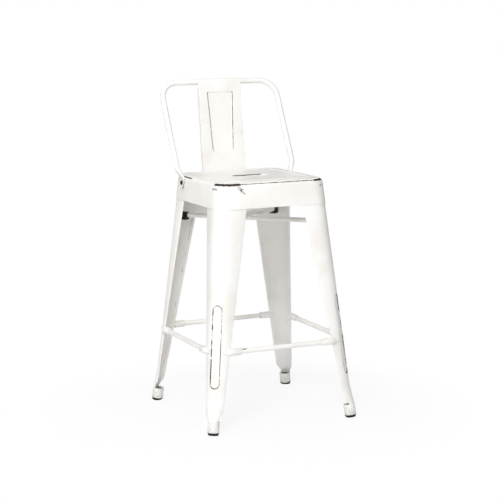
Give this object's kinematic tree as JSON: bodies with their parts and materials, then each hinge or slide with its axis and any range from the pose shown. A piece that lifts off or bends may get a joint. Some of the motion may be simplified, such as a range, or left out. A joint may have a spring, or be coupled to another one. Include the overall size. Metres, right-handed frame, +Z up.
{
  "type": "counter stool",
  "caption": "Painted sheet-steel counter stool with a square pressed seat, splayed angle legs, foot rails and a low bent-tube back with a sheet slat.",
  "frame": {"origin": "on the floor, midway between the four feet", "axes": "+Z up, -Y towards the front of the seat, +X to the right of someone who looks at the front"},
  "size_m": [0.4096, 0.4096, 0.8468],
  "materials": {
    "white_paint": "antiqued white paint, satin, rubbed through to dark metal at edges and corners",
    "black_rubber": "matt black moulded rubber",
    "dark_steel": "blackened steel fasteners"
  },
  "bodies": {
    "root": {"seat_pan": "white_paint", "back_frame": "white_paint", "back_slat": "white_paint", "brace_bar_lower": "white_paint", "brace_bar_upper": "white_paint", "leg_front_left": "white_paint", "leg_front_right": "white_paint", "leg_rear_left": "white_paint", "leg_rear_right": "white_paint", "foot_rail_front": "white_paint", "foot_rail_rear": "white_paint", "foot_rail_left": "white_paint", "foot_rail_right": "white_paint", "foot_front_left": "black_rubber", "foot_front_right": "black_rubber", "foot_rear_left": "black_rubber", "foot_rear_right": "black_rubber", "bumper_front_left": "black_rubber", "bumper_front_right": "black_rubber", "bumper_rear_left": "black_rubber", "bumper_rear_right": "black_rubber", "frame_bolts": "dark_steel", "frame_washers": "dark_steel", "frame_nuts": "dark_steel", "slat_bolts": "dark_steel", "slat_washers": "dark_steel", "slat_nuts": "dark_steel"}
  },
  "joints": []
}
